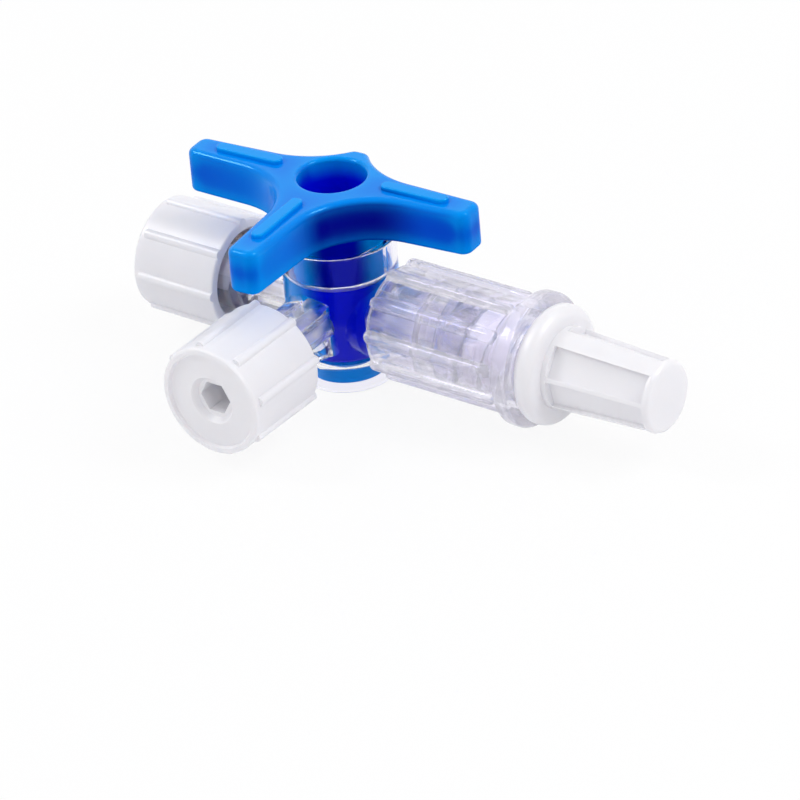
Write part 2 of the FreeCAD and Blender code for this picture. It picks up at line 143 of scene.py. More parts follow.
class StopcockCollar(bpy.types.PropertyGroup):
    """Sizes of the clear lock collar, measured along and about the port axis."""
    body_radius: length("Sleeve radius", "Outer radius of the sleeve between its ribs", 4.85)
    rear_radius: length("Rear bore", "Radius of the plain bore behind the web", 4.05)
    web_start: length("Web start", "Distance of the inner web's rear face", 10.6)
    web_end: length("Web end", "Distance of the inner web's front face", 12.7)
    web_hole: length("Web hole", "Radius of the hole that runs on the stem's groove", 2.3)
    lip_start: length("Lip start", "Where the sleeve begins to flare", 19.3)
    lip_length: length("Flare length", "Length of the flare to the lip's full radius", 1.0)
    lip_radius: length("Lip radius", "Radius of the lip", 6.09)
    rib_count: IntProperty(name="Ribs", description="Number of grip ribs", default=10, min=1)
    rib_first: FloatProperty(name="First rib", description="Turn of the first rib up from the front side",
                             default=math.radians(44), unit="ROTATION")
    rib_half_width: length("Rib half width", "Half of a rib's width, and its rounding", 0.62)
    rib_radius: length("Rib radius", "Radius over the ribs", 5.5)
    rib_start: length("Rib start", "Where the ribs reach their full height", 6.5)
    rib_end: length("Rib end", "Where the ribs begin to fall away", 18.7)
    thread_root: length("Thread root", "Radius of the inner lock thread's root", 4.12)
    thread_crest: length("Thread crest", "Radius of the inner lock thread's crest", 3.92)
    thread_lead: length("Thread lead", "Advance of the lock thread in one turn", 5.0)
    thread_starts: IntProperty(name="Thread starts", description="Number of starts of the lock thread",
                               default=2, min=1)
    thread_width: length("Thread width", "Width of a thread's ridge at its root", 1.1)
    colour: StringProperty(name="Tint", description="Colour that the collar takes, as sRGB hex",
                           default="#F4F1FF")
    haze: FloatProperty(name="Haze", description="Share of light that the collar's plastic scatters",
                        default=0.04, min=0, max=1, subtype="FACTOR")
    straight: FloatProperty(name="Straight light", description="Share of light that passes the collar unbent",
                            default=0.28, min=0, max=1, subtype="FACTOR")
    sheen: StringProperty(name="Sheen", description="Colour of the collar's reflections seen face on, as "
                          "sRGB hex", default="#DEDAFF")


class StopcockHandle(bpy.types.PropertyGroup):
    """Looks of the blue handle and plug, whose blues carry painted light and shade."""
    # Painted light and shade: the lit, glow, wall, deep, plug and neck blues stand for how light falls on one
    # blue plastic.
    painted_lit_blue: StringProperty(name="Top blue", description="Colour of faces turned up and of thin edges, as "
                               "sRGB hex", default="#007EE8")
    painted_glow_blue: StringProperty(name="Bar blue", description="Colour of the thin raised bars, as sRGB hex",
                               default="#0098F2")
    painted_wall_shade: StringProperty(name="Wall blue", description="Colour of the arms' upright walls, as sRGB "
                                "hex", default="#0048CC")
    painted_deep_shade: StringProperty(name="Deep blue", description="Colour of the thick hub's wall, as sRGB hex",
                                default="#000088")
    painted_plug_shade: StringProperty(name="Plug blue", description="Colour of the hole and the plug, as sRGB hex",
                                 default="#000CE8")
    painted_neck_shade: StringProperty(name="Neck blue", description="Colour of the plug's neck above its bore, as "
                                "sRGB hex", default="#0008B0")
    gloss: FloatProperty(name="Gloss", description="Strength of the handle's reflections, where 0.5 is plain",
                         default=0.2, min=0, max=1, subtype="FACTOR")
    roughness: FloatProperty(name="Roughness", description="Roughness of the moulded surface", default=0.12,
                             min=0, max=1, subtype="FACTOR")
    gloss_tint: StringProperty(name="Gloss tint", description="Colour of the reflections seen face on, as "
                               "sRGB hex", default="#70D4FF")
    edge_depth: length("Edge glow", "How far in from an edge light comes through the plastic", 2.0)
    hub_start: length("Hub glow end", "Within this distance of the axis the walls are deep blue", 6.0)
    hub_end: length("Hub shade end", "Beyond this distance of the axis the walls have their own blue", 11.0)
    bar_height: length("Bar height", "How far the raised bars stand out of the arms", 0.4)
    arm_depth: length("Arm depth", "Depth of the arms, from the top without the bars", 4.0)
    hole_radius: length("Hole radius", "Radius of the hole in the hub", 3.3)
    hole_depth: length("Hole shade", "Depth at which the hole has its full colour", 2.2)
    neck_low: length("Neck foot", "Height at which the plug's neck begins, above the foot", 10.2)
    foot_high: length("Foot top", "Height of the top of the snap foot, above the foot", 2.8)
    grain: length("Grain", "Spacing of the moulded surface's fine unevenness", 0.35)


class StopcockCaps(bpy.types.PropertyGroup):
    """Looks of the white caps."""
    colour: StringProperty(name="White", description="Colour of the caps, as sRGB hex", default="#F1F0F3")
    shade_colour: StringProperty(name="Shade", description="Colour of the cloudier patches, as sRGB hex",
                                 default="#EAE9EE")
    roughness: FloatProperty(name="Roughness", description="Roughness of the moulded surface", default=0.38,
                             min=0, max=1, subtype="FACTOR")
    gloss: FloatProperty(name="Gloss", description="Strength of the caps' reflections, where 0.5 is plain",
                         default=0.3, min=0, max=1, subtype="FACTOR")
    glow_depth: length("Glow depth", "How deep light spreads in the plastic", 0.7)
    grain: length("Grain", "Spacing of the moulded surface's fine unevenness", 0.45)


class StopcockStage(bpy.types.PropertyGroup):
    """The floor, the light and the camera."""
    azimuth: FloatProperty(name="Azimuth", description="Turn of the camera from the front towards the male "
                           "port", default=math.radians(38.5), unit="ROTATION")
    elevation: FloatProperty(name="Elevation", description="Height of the camera above the horizon",
                             default=math.radians(30.6), unit="ROTATION")
    roll: FloatProperty(name="Roll", description="Turn of the picture", default=math.radians(-5.14),
                        unit="ROTATION")
    distance: length("Distance", "Distance of the camera from the ports' crossing", 600)
    aim_right: FloatProperty(name="Aim right", description="How far the aim lies right of the crossing",
                             default=4.978 * MM, unit="LENGTH", precision=5)
    aim_up: FloatProperty(name="Aim up", description="How far the aim lies above the crossing",
                          default=-8.685 * MM, unit="LENGTH", precision=5)
    lens: FloatProperty(name="Lens", description="Focal length of the camera in millimetres", default=305.9,
                        unit="CAMERA")
    floor_radius: length("Floor radius", "Radius of the round floor", 900)
    floor_colour: StringProperty(name="Floor", description="Colour of the floor, as sRGB hex",
                                 default="#F4F4F6")
    horizon_colour: StringProperty(name="Horizon", description="Colour that clear plastic shows of the "
                                   "studio's near side, as sRGB hex", default="#EFEDFA")
    fill: FloatProperty(name="Fill", description="Strength of the even light from all round", default=0.72,
                        min=0)
    white_share: FloatProperty(name="Plain white", description="Share of plain white in the floor's look",
                               default=0.9, min=0, max=1, subtype="FACTOR")
    key_place: FloatVectorProperty(name="Key place", description="Where the light at the right stands, from "
                                   "the aim", default=(0.28, 0.12, 0.38), unit="LENGTH")
    side_place: FloatVectorProperty(name="Side place", description="Where the light at the left stands, from "
                                    "the aim", default=(-0.30, -0.18, 0.38), unit="LENGTH")
    key_size: FloatVectorProperty(name="Key size", description="Width and height of the light at the right",
                                  default=(0.20, 0.20), size=2, unit="LENGTH")
    side_size: FloatVectorProperty(name="Side size", description="Width and height of the light at the left",
                                   default=(0.10, 0.15), size=2, unit="LENGTH")
    glint_size: FloatVectorProperty(name="Glint size", description="Width and height of each light that only "
                                    "gloss mirrors", default=(0.12, 0.12), size=2, unit="LENGTH")
    key_power: FloatProperty(name="Key light", description="Power of the larger light, at the right",
                             default=0.7, min=0, unit="POWER")
    side_power: FloatProperty(name="Side light", description="Power of the smaller light, at the left",
                              default=0.5, min=0, unit="POWER")
    glint_power: FloatProperty(name="Glints", description="Power of each light that only gloss mirrors",
                               default=1.8, min=0, unit="POWER")


def camera_side(stage):
    """The level direction from the object to the side that the camera stands on."""
    return Vector((math.sin(stage.azimuth), -math.cos(stage.azimuth), 0.0))


def mapped(tree, value, low, high, kind="SMOOTHSTEP"):
    """0 where a value is at low, 1 where it is at high, and a smooth or straight slope between."""
    return add_node(tree, "ShaderNodeMapRange", {"Value": value, "From Min": low, "From Max": high},
                    interpolation_type=kind).outputs["Result"]


def calculated(tree, operation, *numbers):
    """The result of one sum of numbers or sockets."""
    return add_node(tree, "ShaderNodeMath", dict(enumerate(numbers)), operation=operation).outputs[0]


def size_of(tree, **parts):
    """The length of the vector with the given X, Y and Z, where one left out is 0."""
    vector = add_node(tree, "ShaderNodeCombineXYZ", parts).outputs[0]
    return add_node(tree, "ShaderNodeVectorMath", {0: vector}, operation="LENGTH").outputs["Value"]


def along(tree, vector, direction):
    """How far a vector reaches in a direction."""
    return add_node(tree, "ShaderNodeVectorMath", {0: vector, 1: direction},
                    operation="DOT_PRODUCT").outputs["Value"]


def blended(tree, factor, first, second):
    """A colour between two colours or sockets."""
    return add_node(tree, "ShaderNodeMix", {"Factor": factor, "A": first, "B": second},
                    data_type="RGBA").outputs["Result"]


def grained(tree, place, spacing, strength):
    """A fine unevenness of a moulded surface, 0.02 mm deep, at the given spacing."""
    grain = add_node(tree, "ShaderNodeTexNoise", {"Vector": place, "Scale": 1 / spacing, "Detail": 4.0})
    return add_node(tree, "ShaderNodeBump", {"Height": grain.outputs["Fac"], "Strength": strength,
                                             "Distance": 0.02 * MM}).outputs["Normal"]


def clear_polycarbonate(name, look, own):
    """Clear polycarbonate, injected into a polished mould: crisp highlights, strong bending of what lies
    behind it, and a faint violet cast where light crosses several walls. The pins that leave its narrow
    bores aren't polished, so those are frosted and look soft, and so do the cone that leads into the plug's
    bore and the collar's ribs and lip, which have a matt finish for grip."""
    material, tree, place = new_material(name)
    spot = add_node(tree, "ShaderNodeSeparateXYZ", {0: place}).outputs
    rise = calculated(tree, "SUBTRACT", spot["Z"], PORT_HEIGHT)
    from_x = size_of(tree, Y=spot["Y"], Z=rise)
    from_y = size_of(tree, X=spot["X"], Z=rise)
    from_z = size_of(tree, X=spot["X"], Y=spot["Y"])
    near = calculated(tree, "MINIMUM", from_x, from_y)
    frost = add_node(tree, "ShaderNodeMapRange", {"Value": near, "From Min": look.narrow_reach,
                                                  "From Max": look.narrow_reach + 0.2 * MM,
                                                  "To Min": look.bore_roughness, "To Max": look.roughness})
    # Flow marks of the melt, drawn at 1.5 mm and only just deep enough to waver a highlight.
    flow = add_node(tree, "ShaderNodeTexNoise", {"Vector": place, "Scale": 1 / (1.5 * MM), "Detail": 2.0})
    bump = add_node(tree, "ShaderNodeBump", {"Height": flow.outputs["Fac"], "Strength": 0.04,
                                             "Distance": 0.02 * MM})
    # The lead-in cone lies above the bore, between the plug's radius and the cup's.
    cone = calculated(tree, "MULTIPLY", mapped(tree, from_z, look.cone_reach + 0.06 * MM, look.cone_reach),
                      mapped(tree, from_z, look.bore_reach - 0.1 * MM, look.bore_reach))
    above = mapped(tree, spot["Z"], look.bore_high, look.bore_high + 0.1 * MM)
    cone = calculated(tree, "MULTIPLY", cone, above)
    # The ribs and the lip stand out from the collar's sleeve, which begins beside the barrel.
    ribs = calculated(tree, "MULTIPLY", mapped(tree, from_x, look.matt_start, look.matt_end),
                      calculated(tree, "GREATER_THAN", spot["X"], COLLAR_LOW.x - 0.2 * MM))
    matt = calculated(tree, "MULTIPLY", calculated(tree, "MAXIMUM", cone, ribs), look.matt_haze)
    glass = add_node(tree, "ShaderNodeBsdfPrincipled", {
        "Base Color": linear(own.colour),
        "Roughness": frost.outputs["Result"],
        "IOR": 1.585,
        "Specular Tint": linear(own.sheen),
        "Transmission Weight": calculated(tree, "SUBTRACT", 1.0 - own.haze, matt),
        "Normal": bump.outputs["Normal"],
    })
    # The share of light that goes straight on through the ports' and the collar's thin walls.
    straight = add_node(tree, "ShaderNodeBsdfTransparent", {"Color": WHITE})
    outside = mapped(tree, from_z, look.barrel_reach, look.barrel_reach + 0.6 * MM)
    share = calculated(tree, "MULTIPLY", outside, own.straight)
    mixed = add_node(tree, "ShaderNodeMixShader", {0: share, 1: glass.outputs["BSDF"],
                                                   2: straight.outputs[0]})
    add_node(tree, "ShaderNodeOutputMaterial", {"Surface": mixed.outputs[0]})
    return material


def blue_polyethylene(look, light_side):
    """Blue polyethylene, moulded in one shot. It is translucent, and its light and shade are painted into its
    colour: a bright azure painted glow on thin edges, upward faces, the bars, the foot and the plug's flanks,
    and navy painted shade on the thick hub's wall, in the hole and on the rest of the plug."""
    material, tree, place = new_material("blue_polyethylene")
    spot = add_node(tree, "ShaderNodeSeparateXYZ", {0: place}).outputs
    level = add_node(tree, "ShaderNodeCombineXYZ", {"X": spot["X"], "Y": spot["Y"]}).outputs[0]
    reach = size_of(tree, X=spot["X"], Y=spot["Y"])
    normal = add_node(tree, "ShaderNodeNewGeometry").outputs["Normal"]
    facing = add_node(tree, "ShaderNodeSeparateXYZ", {0: normal}).outputs["Z"]
    # How far a spot sees through the plastic round it: little in a thin edge. Thin edges get a painted azure
    # glow.
    inside = add_node(tree, "ShaderNodeAmbientOcclusion", {"Distance": look.edge_depth}, samples=8,
                      inside=True, only_local=True).outputs["AO"]
    edge = calculated(tree, "MULTIPLY", mapped(tree, inside, 0.95, 0.5), 0.8)
    # Painted shade: the hub's wall between the front arm and the arm over the male port is painted deep blue.
    spoke = add_node(tree, "ShaderNodeVectorMath", {0: level}, operation="NORMALIZE").outputs["Vector"]
    between = along(tree, spoke, FRONT_RIGHT)
    hub = calculated(tree, "MULTIPLY", mapped(tree, reach, look.hub_end, look.hub_start),
                     mapped(tree, between, 0.3, 0.8))
    walls = blended(tree, hub, linear(look.painted_wall_shade), linear(look.painted_deep_shade))
    # Painted light: the front arm and the left side of the hub are painted the lit blue, except near the
    # front arm's end.
    through = along(tree, spoke, FRONT_LEFT)
    from_end = calculated(tree, "SUBTRACT", spot["Y"], HANDLE_LOW.y)
    through = calculated(tree, "MULTIPLY", mapped(tree, through, 0.55, 0.85),
                         mapped(tree, from_end, 0.35 * MM, 1.2 * MM))
    walls = blended(tree, through, walls, linear(look.painted_lit_blue))
    # Painted light and shade: faces turned up get the lit blue, upright walls the shaded blues.
    handle = blended(tree, mapped(tree, facing, 0.15, 0.9), walls, linear(look.painted_lit_blue))
    # Painted shade: less of the edge glow on the hub's faces turned down.
    painted_shade_under_hub = calculated(tree, "MULTIPLY", hub, mapped(tree, facing, 0.9, 0.15))
    painted_shade_under_hub = calculated(tree, "MULTIPLY", painted_shade_under_hub, 0.6)
    edge = calculated(tree, "MULTIPLY", edge, calculated(tree, "SUBTRACT", 1.0, painted_shade_under_hub))
    handle = blended(tree, edge, handle, linear(look.painted_glow_blue))
    # Painted light: the tops of the raised bars get the painted glow blue.
    top = HANDLE_HIGH.z - look.bar_height
    bars = mapped(tree, spot["Z"], top - 0.1 * MM, top + 0.5 * MM)
    handle = blended(tree, bars, handle, linear(look.painted_glow_blue))
    # Painted shade: the hole is painted darker, to the plug blue, with depth.
    in_hole = calculated(tree, "LESS_THAN", reach, look.hole_radius)
    painted_hole_shade = mapped(tree, spot["Z"], top - 0.2 * MM, top - look.hole_depth)
    hole = calculated(tree, "MULTIPLY", in_hole, painted_hole_shade)
    # The plug and its neck begin just below the arms.
    plug = mapped(tree, spot["Z"], top - look.arm_depth, top - look.arm_depth - 0.6 * MM)
    turned_away = calculated(tree, "ABSOLUTE", along(tree, normal, light_side))
    # Painted light and shade: the neck above the bore is painted darker in the middle and lighter on its
    # flanks, and the plug's flanks as seen from the camera's side are painted the glow blue.
    neck = mapped(tree, spot["Z"], look.neck_low, look.neck_low + 0.4 * MM)
    painted_core_shade = blended(tree, neck, linear(look.painted_plug_shade), linear(look.painted_neck_shade))
    neck_flank = calculated(tree, "MULTIPLY", neck, mapped(tree, turned_away, 0.95, 0.7))
    flank = calculated(tree, "MAXIMUM", mapped(tree, turned_away, 0.92, 0.45), neck_flank)
    plug_light_and_shade = blended(tree, flank, painted_core_shade, linear(look.painted_glow_blue))
    colour = blended(tree, hole, handle, linear(look.painted_plug_shade))
    colour = blended(tree, plug, colour, plug_light_and_shade)
    # Painted light: the foot is painted the glow blue, as if lit from below.
    foot = mapped(tree, spot["Z"], look.foot_high, look.foot_high - 0.4 * MM)
    colour = blended(tree, foot, colour, linear(look.painted_glow_blue))
    # The plug is wetted onto its bore, so it mirrors nothing, and the walls are duller than the top.
    gloss = calculated(tree, "MULTIPLY", calculated(tree, "SUBTRACT", 1.0, plug),
                       mapped(tree, facing, -0.2, 0.4))
    gloss = calculated(tree, "MULTIPLY", gloss, look.gloss)
    shader = add_node(tree, "ShaderNodeBsdfPrincipled", {
        "Base Color": colour,
        "Roughness": look.roughness,
        "IOR": 1.51,
        "Specular IOR Level": gloss,
        "Specular Tint": linear(look.gloss_tint),
        "Normal": grained(tree, place, look.grain, 0.15),
    })
    add_node(tree, "ShaderNodeOutputMaterial", {"Surface": shader.outputs["BSDF"]})
    return material


def white_polyethylene(look):
    """White polyethylene with a fine matt mould finish: soft broad highlights, a slightly cloudy white, and
    softened shadows because light spreads a little way inside it."""
    material, tree, place = new_material("white_polyethylene")
    cloud = add_node(tree, "ShaderNodeTexNoise", {"Vector": place, "Scale": 1 / (4 * MM), "Detail": 3.0})
    rough = add_node(tree, "ShaderNodeMapRange", {"Value": cloud.outputs["Fac"],
                                                  "To Min": look.roughness - 0.04,
                                                  "To Max": look.roughness + 0.04})
    shader = add_node(tree, "ShaderNodeBsdfPrincipled", {
        "Base Color": blended(tree, cloud.outputs["Fac"], linear(look.colour), linear(look.shade_colour)),
        "Roughness": rough.outputs["Result"],
        "IOR": 1.51,
        "Specular IOR Level": look.gloss,
        "Subsurface Weight": 0.5,
        "Subsurface Radius": (1.0, 0.9, 0.85),
        "Subsurface Scale": look.glow_depth,
        "Normal": grained(tree, place, look.grain, 0.15),
    })
    add_node(tree, "ShaderNodeOutputMaterial", {"Surface": shader.outputs["BSDF"]})
    return material


def merged_copy(node, name):
    """A new piece with a copy of a CAD node's mesh, its doubles merged and its smooth normals kept."""
    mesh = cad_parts[node].data.copy()
    mesh.name = name
    normals = [part for corner in mesh.corner_normals for part in corner.vector]
    mesh.attributes.new("kept_normal", "FLOAT_VECTOR", "CORNER").data.foreach_set("vector", normals)
    work = bmesh.new()
    work.from_mesh(mesh)
    bmesh.ops.remove_doubles(work, verts=work.verts, dist=0.0001 * MM)
    work.to_mesh(mesh)
    work.free()
    kept = [corner.vector[:] for corner in mesh.attributes["kept_normal"].data]
    mesh.attributes.remove(mesh.attributes["kept_normal"])
    mesh.normals_split_custom_set(kept)
    piece = bpy.data.objects.new(name, mesh)
    bpy.context.scene.collection.objects.link(piece)
    return piece


class STOPCOCK_OT_clear_body(bpy.types.Operator):
    """Make the clear body, with its tapered bore wetted onto the plug"""
    bl_idname = "stopcock.clear_body"
    bl_label = "Clear body"

    def execute(self, context):
        look = context.scene.stopcock_clear
        piece = merged_copy("stopcock_body", "clear_body")
        for vertex in piece.data.vertices:
            x, y, z = vertex.co
            radius = math.hypot(x, y)
            if look.bore_low < z < look.bore_high + 0.01 * MM and 0 < radius < look.bore_reach:
                share = 1 - (look.film + look.running_gap) / radius
                vertex.co = (x * share, y * share, z)
        paint(piece, clear_polycarbonate("clear_polycarbonate", look, look))
        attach(piece, "body")
        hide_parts("stopcock_body")
        return {"FINISHED"}


class STOPCOCK_OT_handle(bpy.types.Operator):
    """Finish the blue handle and its plug"""
    bl_idname = "stopcock.handle"
    bl_label = "Handle and plug"

    def execute(self, context):
        side = camera_side(context.scene.stopcock_stage)
        paint(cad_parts["handle_plug"], blue_polyethylene(context.scene.stopcock_handle, side))
        return {"FINISHED"}


def rounded(corners, steps=6, longest=0.45 * MM):
    """Points of a closed outline of (distance, radius, rounding) corners, with no gap above longest."""
    points = []
    count = len(corners)
    for i, (u, v, rounding) in enumerate(corners):
        corner = Vector((u, v))
        if not rounding:
            points.append(corner)
            continue
        before = (Vector(corners[i - 1][:2]) - corner).normalized()
        after = (Vector(corners[(i + 1) % count][:2]) - corner).normalized()
        half = before.angle(after) / 2
        centre = corner + (before + after).normalized() * (rounding / math.sin(half))
        start = corner + before * (rounding / math.tan(half)) - centre
        end = corner + after * (rounding / math.tan(half)) - centre
        sweep = start.angle_signed(end)
        for k in range(steps + 1):
            points.append(centre + Matrix.Rotation(-sweep * k / steps, 2) @ start)
    filled = []
    for i, point in enumerate(points):
        following = points[(i + 1) % len(points)]
        parts = max(1, math.ceil((following - point).length / longest))
        filled += [point.lerp(following, k / parts) for k in range(parts)]
    return filled


def turned_ring(name, outline, turns):
    """A closed ring about the port axis: an outline of (distance, radius) swept through the given turns,
    measured up from the front side."""
    mesh = bpy.data.meshes.new(name)
    rows, columns = len(outline), len(turns)
    vertices = []
    for distance, radius in outline:
        for turn in turns:
            vertices.append((distance, -radius * math.cos(turn), PORT_HEIGHT + radius * math.sin(turn)))
    faces = []
    for i in range(rows):
        below = (i + 1) % rows
        for k in range(columns):
            beside = (k + 1) % columns
            faces.append((i * columns + k, i * columns + beside, below * columns + beside,
                          below * columns + k))
    mesh.from_pydata(vertices, [], faces)
    mesh.shade_smooth()
    work = bmesh.new()
    work.from_mesh(mesh)
    bmesh.ops.recalc_face_normals(work, faces=work.faces)
    work.to_mesh(mesh)
    work.free()
    piece = bpy.data.objects.new(name, mesh)
    bpy.context.scene.collection.objects.link(piece)
    return piece


COLLAR_INPUTS = (
    ("Axis Height", "NodeSocketFloat"),
    ("Rib Count", "NodeSocketInt"),
    ("First Rib", "NodeSocketFloat"),
    ("Rib Half Width", "NodeSocketFloat"),
    ("Rib Radius", "NodeSocketFloat"),
    ("Rib Start", "NodeSocketFloat"),
    ("Rib End", "NodeSocketFloat"),
    ("Outer Side From", "NodeSocketFloat"),
    ("Thread Root", "NodeSocketFloat"),
    ("Thread Depth", "NodeSocketFloat"),
    ("Thread Lead", "NodeSocketFloat"),
    ("Thread Spacing", "NodeSocketFloat"),
    ("Thread Width", "NodeSocketFloat"),
    ("Thread Start", "NodeSocketFloat"),
    ("Thread End", "NodeSocketFloat"),
    ("Material", "NodeSocketMaterial"),
)


def collar_tree():
    """Geometry nodes that raise the grip ribs out of a sleeve and the lock thread out of its bore."""
    tree = bpy.data.node_groups.new("ribs_and_thread", "GeometryNodeTree")
    tree.interface.new_socket("Geometry", in_out="INPUT", socket_type="NodeSocketGeometry")
    for name, kind in COLLAR_INPUTS:
        tree.interface.new_socket(name, in_out="INPUT", socket_type=kind)
    tree.interface.new_socket("Geometry", in_out="OUTPUT", socket_type="NodeSocketGeometry")
    size = add_node(tree, "NodeGroupInput").outputs

    # Each point's distance along the port axis, its radius and its turn up from the front side.
    place = add_node(tree, "GeometryNodeInputPosition").outputs[0]
    place = add_node(tree, "ShaderNodeSeparateXYZ", {0: place}).outputs
    distance = place["X"]
    front = calculated(tree, "MULTIPLY", place["Y"], -1.0)
    up = calculated(tree, "SUBTRACT", place["Z"], size["Axis Height"])
    radius = size_of(tree, Y=front, Z=up)
    turn = calculated(tree, "ARCTAN2", up, front)

    # A rib is a half round rod with a ball nose at each end: crest = centre + sqrt(w2 - across2 - past2).
    pitch = calculated(tree, "DIVIDE", math.tau, size["Rib Count"])
    half_pitch = calculated(tree, "MULTIPLY", pitch, 0.5)
    minus_half = calculated(tree, "MULTIPLY", pitch, -0.5)
    from_first = calculated(tree, "SUBTRACT", turn, size["First Rib"])
    nearest = calculated(tree, "WRAP", from_first, half_pitch, minus_half)
    across = calculated(tree, "MULTIPLY", nearest, radius)
    before = calculated(tree, "SUBTRACT", distance, size["Rib Start"])
    before = calculated(tree, "MINIMUM", before, 0.0)
    after = calculated(tree, "SUBTRACT", distance, size["Rib End"])
    after = calculated(tree, "MAXIMUM", after, 0.0)
    past = calculated(tree, "ADD", before, after)
    width_2 = calculated(tree, "POWER", size["Rib Half Width"], 2.0)
    left = calculated(tree, "SUBTRACT", width_2, calculated(tree, "MULTIPLY", across, across))
    left = calculated(tree, "SUBTRACT", left, calculated(tree, "MULTIPLY", past, past))
    inside = calculated(tree, "GREATER_THAN", left, 0.0)
    rise = calculated(tree, "SQRT", calculated(tree, "MAXIMUM", left, 0.0))
    rod_centre = calculated(tree, "SUBTRACT", size["Rib Radius"], size["Rib Half Width"])
    crest = calculated(tree, "ADD", rod_centre, rise)
    outer = calculated(tree, "GREATER_THAN", radius, size["Outer Side From"])
    higher = calculated(tree, "GREATER_THAN", crest, radius)
    on_rib = calculated(tree, "MULTIPLY", inside, outer)
    on_rib = calculated(tree, "MULTIPLY", on_rib, higher)

    # The thread's ridge stands in from the bore: its middle advances by the lead in each turn.
    advance = calculated(tree, "MULTIPLY", turn, size["Thread Lead"])
    advance = calculated(tree, "DIVIDE", advance, math.tau)
    from_ridge = calculated(tree, "SUBTRACT", distance, advance)
    half_space = calculated(tree, "MULTIPLY", size["Thread Spacing"], 0.5)
    minus_space = calculated(tree, "MULTIPLY", half_space, -1.0)
    from_ridge = calculated(tree, "WRAP", from_ridge, half_space, minus_space)
    from_ridge = calculated(tree, "ABSOLUTE", from_ridge)
    half_ridge = calculated(tree, "MULTIPLY", size["Thread Width"], 0.5)
    depth = calculated(tree, "MULTIPLY", mapped(tree, from_ridge, half_ridge, 0.15 * MM, "LINEAR"),
                       size["Thread Depth"])
    # The ridge rises from the bore over 1 mm at each end.
    run_in = calculated(tree, "SUBTRACT", distance, size["Thread Start"])
    depth = calculated(tree, "MULTIPLY", depth, mapped(tree, run_in, 0.0, 1.0 * MM, "LINEAR"))
    run_out = calculated(tree, "SUBTRACT", size["Thread End"], distance)
    depth = calculated(tree, "MULTIPLY", depth, mapped(tree, run_out, 0.0, 1.0 * MM, "LINEAR"))
    ridge = calculated(tree, "SUBTRACT", size["Thread Root"], depth)
    on_thread = calculated(tree, "COMPARE", radius, size["Thread Root"], 0.01 * MM)

    moved = add_node(tree, "ShaderNodeMix", {"Factor": on_thread, "A": crest, "B": ridge}).outputs["Result"]
    chosen = calculated(tree, "MAXIMUM", on_rib, on_thread)
    share = calculated(tree, "DIVIDE", moved, radius)
    new_y = calculated(tree, "MULTIPLY", place["Y"], share)
    new_z = calculated(tree, "MULTIPLY_ADD", up, share, size["Axis Height"])
    new_place = add_node(tree, "ShaderNodeCombineXYZ", {"X": distance, "Y": new_y, "Z": new_z}).outputs[0]
    shaped = add_node(tree, "GeometryNodeSetPosition", {"Geometry": size["Geometry"], "Selection": chosen,
                                                        "Position": new_place}).outputs[0]
    whole = add_node(tree, "GeometryNodeRealizeInstances", {0: shaped}).outputs[0]
    painted = add_node(tree, "GeometryNodeSetMaterial", {"Geometry": whole, "Material": size["Material"]})
    add_node(tree, "NodeGroupOutput", {"Geometry": painted.outputs[0]})
    return tree


def grown(piece, tree, values):
    """The piece after its geometry nodes have run with the given inputs, as a plain mesh."""
    modifier = piece.modifiers.new(tree.name, "NODES")
    modifier.node_group = tree
    for item in tree.interface.items_tree:
        if item.item_type == "SOCKET" and item.name in values:
            modifier[item.identifier] = values[item.name]
    evaluated = piece.evaluated_get(bpy.context.evaluated_depsgraph_get())
    mesh = bpy.data.meshes.new_from_object(evaluated)
    piece.modifiers.remove(modifier)
    piece.data = mesh
    mesh.name = piece.name
    mesh.set_sharp_from_angle(angle=math.radians(32))
    return piece


def rib_turns(collar):
    """Turns of the collar's columns: close together over each rib and wider between the ribs."""
    turns = []
    pitch = math.tau / collar.rib_count
    half = collar.rib_half_width / collar.body_radius
    for i in range(collar.rib_count):
        middle = collar.rib_first + i * pitch
        turns += [middle + half * math.sin(math.radians(15 * k)) for k in range(-6, 7)]
        turns += [middle + half + (pitch - 2 * half) * k / 6 for k in range(1, 6)]
    return turns


